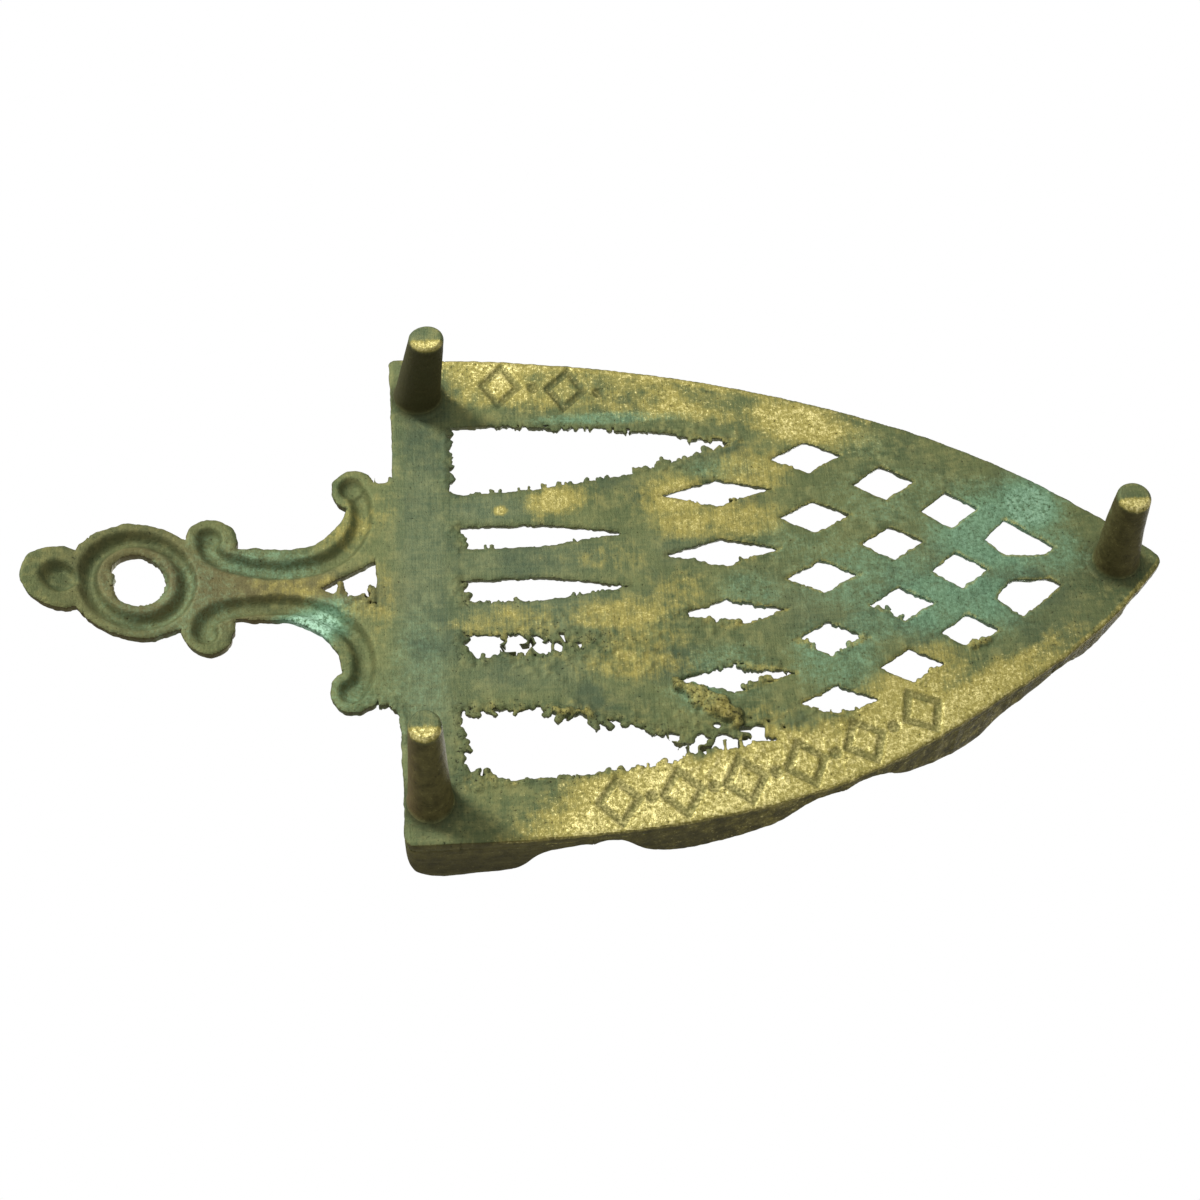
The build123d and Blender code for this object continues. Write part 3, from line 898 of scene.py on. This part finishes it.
def rail_gold(x, left_in, right_in, wobble):
    """Worn gold along the two rails and the right rim."""
    width = np.interp(x, [44, 62, 90, 125], [14, 17, 17, 9])
    left = smooth_step(width, width - 6, left_in + wobble * 5) * smooth_step(14, 36, x - left_in * 0.8)
    left *= 0.1 + 0.65 * smooth_step(146, 116, x) + 0.18 * smooth_step(84, 60, x)
    right = smooth_step(16, 9, right_in + wobble * 5) * smooth_step(5, 18, x) * smooth_step(90, 50, x)
    rim = smooth_step(3.2, 1.0, right_in) * smooth_step(135, 60, x) * 0.6
    return np.maximum.reduce([left, right * (0.55 + wobble * 0.6), rim * smooth_step(-1, 4, x)])


def tip_gold(x, y):
    """Worn gold on the left part of each foot's tip."""
    worn = np.zeros(len(x))
    for tip_x, tip_y in foot_tips.values():
        from_tip = np.hypot(x - tip_x, y - tip_y)
        worn = np.maximum(worn, smooth_step(4.5, 3.5, from_tip) * smooth_step(0.2, 1.6, y - tip_y))
    return 0.12 + 0.9 * worn


def patina_layout(points, normals, fields):
    """Shares of worn gold, verdigris, brown, slate, grime and painted shade at each point, laid out by
    position.
    """
    x, y, z = points.T
    left_in = np.interp(x, *left_edge) - y
    right_in = y - np.interp(x, *right_edge)
    steep = np.abs(normals[:, 2])
    under = smooth_step(0.2, 0.8, -normals[:, 2])
    hollow = fields["hollow"] * under
    wobble = layered_noise(points, 12.0, 3, 71) * 0.5
    on_deck = smooth_step(-1, 4, x)
    upper = smooth_step(0.5, 0.9, normals[:, 2]) * on_deck
    left_line = smooth_step(1.3, 0.4, left_in) * (z > UNDERSIDE - 0.5) * (z < UNDERSIDE + 1.0)
    foot_tip = smooth_step(1.5, 0.3, z)
    gold = np.maximum.reduce([
        rail_gold(x, left_in, right_in, wobble) * under,
        ovals(points, GOLD_PATCHES) * under,
        fields["lump"] * 0.3 * smooth_step(-14, 4, y) * smooth_step(20, 28, x + y * 0.3) * under,
        fields["edge"] * 0.4 * smooth_step(55, 75, x) * under,
        upper * (0.22 + 0.3 * smooth_step(GALLERY_TOP - 4, GALLERY_TOP, z)),
        0.22 * smooth_step(24, 70, x) * smooth_step(0.6, 0.3, steep) * (left_in < 2),
        left_line * smooth_step(10, 30, x) * 0.5,
        foot_tip * tip_gold(x, y),
    ])
    teal = np.maximum(ovals(points, TEAL_PATCHES), hollow * 0.2 * (x < 0))
    wall = smooth_step(0.75, 0.35, steep) * (z > UNDERSIDE - 12)
    # Painted light: the holes' walls, which lie in shade, take less of the darker brown so that they read
    # lighter.
    wall = wall * np.where(np.minimum(left_in, right_in) > 2.5, 0.4, 1.0)
    coarse = smooth_step(16, 10, np.minimum(left_in, right_in)) * on_deck
    foot_side = smooth_step(UNDERSIDE - 0.2, UNDERSIDE - 2.2, z) * (x > -1) * (1 - foot_tip)
    foot_ruddy = foot_side * smooth_step(-30, 40, y) * smooth_step(5.6, 1.0, x) * (x < 12)
    # Dark mix of grime and painted shade: painted shade, with some grime, in the handle's grooves and the
    # engraved marks; also darker along the holes' edges and on the sides of the feet towards the right.
    grime_and_shade = np.maximum.reduce([
        hollow * np.where(x < 0, 0.25, 1.15),
        fields["edge"] * 0.2,
        foot_side * 0.75 * smooth_step(-10, -40, y),
    ])
    # A dark ring on the deck around each foot's base: grime and a painted shadow of the foot.
    for centre_x, centre_y in foot_centres.values():
        from_foot = np.hypot(x - centre_x, y - centre_y)
        grime_and_shade = np.maximum(grime_and_shade, smooth_step(8.5, 4.5, from_foot) * 0.8 * (z > UNDERSIDE - 1))
    # Painted shade: the brown walls and feet darken towards the gallery's top and towards the toe.
    lower_wall_shade = smooth_step(UNDERSIDE + 2, UNDERSIDE + 11, z)
    return {
        "gold": gold + wobble * 0.12,
        "teal": teal,
        "brown": np.maximum(wall * (1 - 0.3 * fields["lump"]), foot_side),
        "ruddy": np.maximum(ovals(points, RUDDY_PATCHES), foot_ruddy) * (1 - 0.7 * hollow),
        "slate": ovals(points, SLATE_PATCHES),
        "grime_and_shade": grime_and_shade,
        "pits": fields["pits"],
        "shaded_low_wall": np.maximum(lower_wall_shade, 0.5 * smooth_step(60, 110, x)),
        "coarse": coarse,
        "rub": on_deck * (1 - 0.6 * coarse) * under,
    }


# ---- material

class Nodes:
    """Short names for making and joining shader nodes."""

    def __init__(self, tree):
        self.tree = tree

    def new(self, kind, settings=None, **inputs):
        node = self.tree.nodes.new(kind)
        for key, value in (settings or {}).items():
            setattr(node, key, value)
        for key, value in inputs.items():
            self.put(node.inputs[key.replace("_", " ")], value)
        return node

    def put(self, socket, value):
        if isinstance(value, bpy.types.NodeSocket):
            self.tree.links.new(value, socket)
        else:
            socket.default_value = value

    def math(self, operation, a, b=0.0, clamp=False):
        node = self.new("ShaderNodeMath", {"operation": operation, "use_clamp": clamp})
        self.put(node.inputs[0], a)
        self.put(node.inputs[1], b)
        return node.outputs[0]

    def times(self, a, b):
        return self.math("MULTIPLY", a, b)

    def plus(self, a, b):
        return self.math("ADD", a, b)

    def swing(self, noise, strength):
        """A noise about zero instead of about a half, made stronger or weaker."""
        return self.times(self.math("SUBTRACT", noise, 0.5), strength)

    def mix(self, share, a, b):
        node = self.new("ShaderNodeMix", {"data_type": "RGBA"})
        self.put(node.inputs[0], share)
        self.put(node.inputs[6], a if isinstance(a, bpy.types.NodeSocket) else (*a, 1))
        self.put(node.inputs[7], b if isinstance(b, bpy.types.NodeSocket) else (*b, 1))
        return node.outputs[2]

    def noise(self, vector, scale, detail, roughness):
        node = self.new("ShaderNodeTexNoise", Vector=vector, Scale=scale, Detail=detail, Roughness=roughness)
        return node.outputs[0]

    def ramp(self, value, low, high):
        """0 at low and 1 at high, with a smooth rise between them."""
        node = self.new("ShaderNodeMapRange", {"interpolation_type": "SMOOTHSTEP"})
        self.put(node.inputs[0], value)
        self.put(node.inputs[1], low)
        self.put(node.inputs[2], high)
        return node.outputs[0]

    def attribute(self, name):
        node = self.new("ShaderNodeAttribute", {"attribute_name": name})
        return node.outputs["Fac"]


# Colours of the casting, as linear red, green and blue.
DARK_PATINA = (0.066, 0.094, 0.040)
PATINA = (0.120, 0.143, 0.055)
PALE_PATINA = (0.190, 0.195, 0.074)
DARK_SLATE = (0.066, 0.102, 0.062)
SLATE = (0.128, 0.165, 0.094)
SCRATCHED = (0.250, 0.250, 0.105)
CLOUD = (0.052, 0.080, 0.048)
DARK_BROWN = (0.060, 0.053, 0.018)
BROWN = (0.150, 0.132, 0.045)
# painted shade on the brown walls and feet, towards the gallery's top and the toe
SHADED_BROWN = (0.034, 0.030, 0.011)
STREAKED_BROWN = (0.160, 0.145, 0.055)
RUDDY = (0.150, 0.092, 0.040)
# the colour of grime and painted shade, for the hollows, edges and feet
SHADE_AND_GRIME = (0.022, 0.028, 0.012)
DARK_VERDIGRIS = (0.080, 0.172, 0.096)
VERDIGRIS = (0.225, 0.385, 0.240)
BLOOM = (0.400, 0.620, 0.450)
DULL_GOLD = (0.335, 0.285, 0.074)
BRIGHT_GOLD = (0.870, 0.770, 0.335)
SPECK = (0.050, 0.048, 0.018)
RUBBED = (0.050, 0.058, 0.024)
PIT = (0.012, 0.014, 0.006)


def brass_noises(n):
    """The noises that colour the brass, by name. All are fixed to the casting."""
    place = n.new("ShaderNodeTexCoord").outputs["Object"]

    def stretched(source, scale, turn=0.0):
        return n.new("ShaderNodeMapping", Vector=source, Rotation=(0, 0, turn), Scale=scale).outputs[0]

    millimetres = stretched(place, (1 / MM, 1 / MM, 1 / MM))
    brushed = stretched(place, (2.4 / MM, 0.12 / MM, 1 / MM))
    lengthways = stretched(place, (0.10 / MM, 1.8 / MM, 1 / MM))
    slanted = stretched(millimetres, (2.0, 0.14, 1), 0.5)
    return {
        "cloud": n.noise(millimetres, 0.055, 5, 0.65),
        "broad": n.noise(millimetres, 0.09, 5, 0.6),
        "mottle": n.noise(millimetres, 0.42, 5, 0.62),
        "grain": n.noise(millimetres, 1.5, 5, 0.66),
        "speck": n.noise(millimetres, 3.2, 3, 0.6),
        "scratch": n.noise(brushed, 1.0, 3, 0.6),
        "stroke": n.noise(lengthways, 1.0, 3, 0.6),
        "slant": n.noise(slanted, 1.0, 3, 0.6),
    }


def patina_colour(n, noise):
    """Grey-green patina with slate areas, fine scratches and dark clouds."""
    colour = n.mix(n.ramp(noise["broad"], 0.35, 0.65), DARK_PATINA, PATINA)
    colour = n.mix(n.ramp(noise["mottle"], 0.42, 0.72), colour, PALE_PATINA)
    slate = n.mix(n.ramp(noise["mottle"], 0.3, 0.7), DARK_SLATE, SLATE)
    colour = n.mix(n.times(n.attribute("slate"), 0.75), colour, slate)
    lines = n.plus(n.ramp(noise["scratch"], 0.35, 0.65), n.ramp(noise["stroke"], 0.35, 0.65))
    colour = n.mix(n.times(lines, 0.13), colour, SCRATCHED)
    cloudy = n.times(n.ramp(noise["cloud"], 0.50, 0.66), n.times(n.attribute("rub"), 0.65))
    return n.mix(cloudy, colour, CLOUD)


def add_brown(n, noise, colour):
    """Brown walls and feet with painted shade towards the gallery's top and the toe, a ruddy handle, and a
    dark mix of grime and painted shade in the hollows, along the edges and around the feet.
    """
    brown = n.mix(n.ramp(noise["mottle"], 0.2, 0.8), DARK_BROWN, BROWN)
    # Painted shade darkens the brown towards the gallery's top and the toe.
    brown = n.mix(n.times(n.attribute("shaded_low_wall"), 0.45), brown, SHADED_BROWN)
    brown = n.mix(n.times(n.ramp(noise["stroke"], 0.45, 0.7), 0.3), brown, STREAKED_BROWN)
    colour = n.mix(n.attribute("brown"), colour, brown)
    colour = n.mix(n.times(n.attribute("ruddy"), 0.5), colour, RUDDY)
    # Grime and painted shade darken the hollows, the edges and the feet.
    grime_and_shade = n.times(n.attribute("grime_and_shade"), n.ramp(noise["mottle"], 0.15, 0.6))
    return n.mix(n.times(grime_and_shade, 0.8), colour, SHADE_AND_GRIME)


def add_verdigris(n, noise, colour):
    lay = n.attribute("teal")
    total = n.plus(n.plus(lay, n.swing(noise["mottle"], 1.1)), n.swing(noise["grain"], 0.8))
    share = n.times(n.ramp(total, 0.1, 1.0), n.ramp(lay, 0.02, 0.4))
    verdigris = n.mix(n.ramp(noise["grain"], 0.25, 0.85), DARK_VERDIGRIS, VERDIGRIS)
    colour = n.mix(n.times(share, 0.85), colour, verdigris)
    bloom = n.times(n.ramp(lay, 0.75, 1.3), n.ramp(noise["grain"], 0.40, 0.58))
    return n.mix(n.times(bloom, 0.85), colour, BLOOM)


def add_gold(n, noise, colour):
    """A dull film of gold with bright grains in it. Gives the colour and the share of bright metal."""
    lay = n.attribute("gold")
    total = n.plus(n.plus(lay, n.swing(noise["mottle"], 1.0)), n.swing(noise["scratch"], 0.45))
    # Less gold where grime and painted shade lie.
    clean_and_unshaded = n.math("SUBTRACT", 1.0, n.times(n.attribute("grime_and_shade"), 0.65), clamp=True)
    dull = n.times(n.times(n.ramp(total, 0.08, 0.72), clean_and_unshaded), 0.9)
    colour = n.mix(n.times(dull, n.ramp(lay, -0.1, 0.3)), colour, DULL_GOLD)
    coarseness = n.plus(2.5, n.times(n.attribute("coarse"), 1.8))
    total = n.plus(n.plus(total, n.swing(noise["grain"], coarseness)), n.swing(noise["speck"], 1.6))
    bright = n.times(n.times(n.ramp(total, 0.50, 1.8), n.ramp(lay, -0.35, 0.35)), clean_and_unshaded)
    return n.mix(bright, colour, BRIGHT_GOLD), bright


def add_marks(n, noise, colour):
    """Dark specks, rubbed streaks and pits."""
    speckled = n.plus(0.10, n.times(n.attribute("coarse"), 0.45))
    colour = n.mix(n.times(n.ramp(noise["grain"], 0.45, 0.28), speckled), colour, SPECK)
    rubbed = n.plus(n.ramp(noise["scratch"], 0.54, 0.34), n.ramp(noise["slant"], 0.54, 0.34))
    colour = n.mix(n.times(rubbed, n.times(n.attribute("rub"), 0.11)), colour, RUBBED)
    pitted = n.plus(noise["grain"], n.times(n.attribute("pits"), -0.13))
    return n.mix(n.times(n.ramp(pitted, 0.37, 0.29), 0.85), colour, PIT)


def brass_material():
    """Old cast brass: grey-green patina, brown, verdigris and worn gold, with fine scratches."""
    material = bpy.data.materials.new("patinated_brass")
    material.use_nodes = True
    n = Nodes(material.node_tree)
    shader = material.node_tree.nodes["Principled BSDF"]
    noise = brass_noises(n)
    colour = add_brown(n, noise, patina_colour(n, noise))
    colour, bright = add_gold(n, noise, add_verdigris(n, noise, colour))
    height = n.plus(n.plus(noise["grain"], n.times(noise["scratch"], 0.2)), n.times(noise["speck"], 0.3))
    bump = n.new("ShaderNodeBump", Strength=0.7, Distance=0.0003, Height=height)
    roughness = n.plus(0.50, n.times(noise["mottle"], 0.18))
    roughness = n.math("SUBTRACT", roughness, n.times(bright, 0.22))
    roughness = n.plus(roughness, n.times(n.attribute("brown"), 0.2))
    metallic = n.math("ADD", 0.35, n.times(bright, 0.50), clamp=True)
    n.put(shader.inputs["Base Color"], add_marks(n, noise, colour))
    n.put(shader.inputs["Roughness"], roughness)
    n.put(shader.inputs["Metallic"], metallic)
    n.put(shader.inputs["Normal"], bump.outputs[0])
    shader.inputs["Specular IOR Level"].default_value = 0.12
    return material


# ---- camera, stage and light

# The camera, in metres: from the left and from below, with the handle to the left of the picture.
CAMERA_PLACE = Vector((-0.02169, 0.23581, -0.34973))
CAMERA_TARGET = Vector((-0.00053, 0.00551, 0.02500))
CAMERA_UP = Vector((0.04430, -0.85003, -0.52491))
CAMERA_LENS = 64.69


def add_camera():
    """Looks at the underside, from the left and from below, so that the feet point up in the picture."""
    data = bpy.data.cameras.new("camera")
    data.lens = CAMERA_LENS
    data.clip_start = 0.01
    data.clip_end = 20
    camera = bpy.data.objects.new("camera", data)
    back = (CAMERA_PLACE - CAMERA_TARGET).normalized()
    right = CAMERA_UP.cross(back).normalized()
    up = back.cross(right)
    turn = Matrix((right, up, back)).transposed()
    camera.matrix_world = Matrix.Translation(CAMERA_PLACE) @ turn.to_4x4()
    bpy.context.scene.collection.objects.link(camera)
    bpy.context.scene.camera = camera


def stage_material(name, own_light, grey):
    """Matt, with some light of its own, and seen only from its front."""
    material = bpy.data.materials.new(name)
    material.use_nodes = True
    n = Nodes(material.node_tree)
    material.node_tree.nodes.remove(material.node_tree.nodes["Principled BSDF"])
    output = material.node_tree.nodes["Material Output"]
    matt = n.new("ShaderNodeBsdfDiffuse", Color=(grey, grey, grey, 1))
    glow = n.new("ShaderNodeEmission", Color=(1, 1, 1, 1), Strength=own_light)
    both = n.new("ShaderNodeAddShader")
    clear = n.new("ShaderNodeBsdfTransparent")
    back = n.new("ShaderNodeNewGeometry").outputs["Backfacing"]
    shown = n.new("ShaderNodeMixShader")
    n.tree.links.new(matt.outputs[0], both.inputs[0])
    n.tree.links.new(glow.outputs[0], both.inputs[1])
    n.tree.links.new(back, shown.inputs[0])
    n.tree.links.new(both.outputs[0], shown.inputs[1])
    n.tree.links.new(clear.outputs[0], shown.inputs[2])
    n.tree.links.new(shown.outputs[0], output.inputs["Surface"])
    return material


FLOOR_CORNERS = [(-4, -4), (4, -4), (4, 4), (-4, 4)]  # in metres


def add_floor(name, height, facing, own_light, grey):
    """A wide square of floor that faces up or down and is seen by the camera only."""
    mesh = bpy.data.meshes.new(name)
    mesh.from_pydata([(x, y, height) for x, y in FLOOR_CORNERS[::facing]], [], [(0, 1, 2, 3)])
    floor = bpy.data.objects.new(name, mesh)
    floor.data.materials.append(stage_material(name, own_light, grey))
    for ray in ("diffuse", "glossy", "transmission", "volume_scatter", "shadow"):
        setattr(floor, f"visible_{ray}", False)
    bpy.context.scene.collection.objects.link(floor)


def add_light(name, place, size, power):
    """A round light that points at the middle of the casting's footprint."""
    data = bpy.data.lights.new(name, "AREA")
    data.shape = "DISK"
    data.size = size
    data.energy = power
    light = bpy.data.objects.new(name, data)
    light.location = place
    light.rotation_mode = "QUATERNION"
    light.rotation_quaternion = (-Vector(place)).to_track_quat("-Z", "Y")
    bpy.context.scene.collection.objects.link(light)


LEVEL_LIGHT = 0.3
STEEP_LIGHT = 0.55  # added to it straight above and below


def add_world():
    """Even white for the camera, and a softer light on the object that comes from above and below."""
    world = bpy.data.worlds.new("studio")
    bpy.context.scene.world = world
    world.use_nodes = True
    n = Nodes(world.node_tree)
    background = world.node_tree.nodes["Background"]
    direction = n.new("ShaderNodeTexCoord").outputs["Generated"]
    up = n.new("ShaderNodeSeparateXYZ", Vector=direction).outputs["Z"]
    light = n.plus(LEVEL_LIGHT, n.times(n.math("ABSOLUTE", up), STEEP_LIGHT))
    seen = n.new("ShaderNodeLightPath").outputs["Is Camera Ray"]
    strength = n.new("ShaderNodeMix", {"data_type": "FLOAT"})
    n.put(strength.inputs[0], seen)
    n.put(strength.inputs[2], light)
    n.put(strength.inputs[3], 1.0)
    n.put(background.inputs["Strength"], strength.outputs[0])
    background.inputs["Color"].default_value = (1, 1, 1, 1)


bpy.context.scene.view_settings.view_transform = "Standard"
add_camera()
add_world()
add_floor("floor", height=0.0, facing=1, own_light=0.25, grey=0.8)
add_floor("floor_for_the_upturned_view", height=cad_box[1].z + 0.0002, facing=-1, own_light=1.0, grey=0.0)
add_light("key_below", place=(-0.50, -0.40, -0.70), size=0.22, power=9.8)
add_light("key_above", place=(0.45, -0.35, 0.8), size=0.5, power=9)

brass = brass_material()
left_edge, right_edge = build_plate()
build_gallery(LEFT_GALLERY)
build_gallery(RIGHT_GALLERY)
for foot_name in FEET:
    build_foot(foot_name)
for cast_piece in pieces:
    roughen(cast_piece["points"], cast_piece["fields"]["crumble"])
shared_normals()
for cast_piece in pieces:
    make_object(cast_piece)
